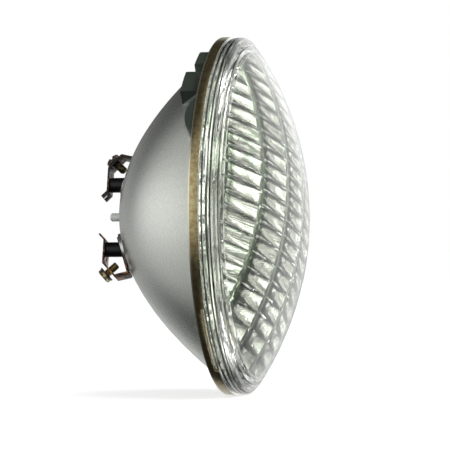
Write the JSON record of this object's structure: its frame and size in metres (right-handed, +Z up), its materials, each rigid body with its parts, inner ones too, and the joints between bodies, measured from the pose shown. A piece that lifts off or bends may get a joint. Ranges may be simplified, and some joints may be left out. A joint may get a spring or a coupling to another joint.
{
  "type": "par spotlight bulb",
  "caption": "Sealed reflector spotlight bulb with a parabolic glass bowl, fluted round lens, flanged rim and slotted screw terminals behind.",
  "frame": {"origin": "on the lamp's axis, in the plane of the rim's back face", "axes": "+X along the lamp's axis, the way the light leaves; +Z up as pictured, the terminals and the lens columns leaning 17 degrees about X"},
  "size_m": [0.1035, 0.178, 0.178],
  "materials": {
    "bowl_glass": "pressed glass, aluminised inside, satin grey from behind",
    "lens_glass": "clear pressed glass, fluted inside",
    "tube_glass": "clear drawn glass",
    "ferrule_metal": "dark oxidised",
    "bracket_metal": "tarnished copper brown strip",
    "screw_metal": "tarnished olive brass",
    "lead_metal": "bright nickel",
    "filament_metal": "dull tungsten"
  },
  "bodies": {
    "lamp": {"reflector": "bowl_glass", "lens": "lens_glass", "exhaust_tip": "tube_glass", "filament": "filament_metal", "upper_ferrule": "ferrule_metal", "upper_bracket": "bracket_metal", "upper_lead": "lead_metal", "lower_ferrule": "ferrule_metal", "lower_bracket": "bracket_metal", "lower_lead": "lead_metal"},
    "upper_clamp": {"upper_washer": "bracket_metal"},
    "upper_screw": {"upper_screw": "screw_metal"},
    "lower_clamp": {"lower_washer": "bracket_metal"},
    "lower_screw": {"lower_screw": "screw_metal"}
  },
  "joints": [
    {"name": "upper_clamp_travel", "type": "slide", "parent": "lamp", "child": "upper_clamp", "axis": [-0.7314, 0.1994, 0.6522], "range_m": [-0.00036, 0.00278]},
    {"name": "upper_screw_turn", "type": "hinge", "parent": "upper_clamp", "child": "upper_screw", "pos_m": [-0.0584, 0.0081, 0.02649], "axis": [-0.7314, 0.1994, 0.6522], "range_deg": [-163, 1261]},
    {"name": "lower_clamp_travel", "type": "slide", "parent": "lamp", "child": "lower_clamp", "axis": [-0.7314, -0.1994, -0.6522], "range_m": [-0.00155, 0.00159]},
    {"name": "lower_screw_turn", "type": "hinge", "parent": "lower_clamp", "child": "lower_screw", "pos_m": [-0.0584, -0.0081, -0.02649], "axis": [-0.7314, -0.1994, -0.6522], "range_deg": [-703, 721]}
  ],
  "couplings": [
    {"joint": "upper_screw_turn", "follows": "upper_clamp_travel", "rad_per_m": 7915.8},
    {"joint": "lower_screw_turn", "follows": "lower_clamp_travel", "rad_per_m": 7915.8}
  ]
}
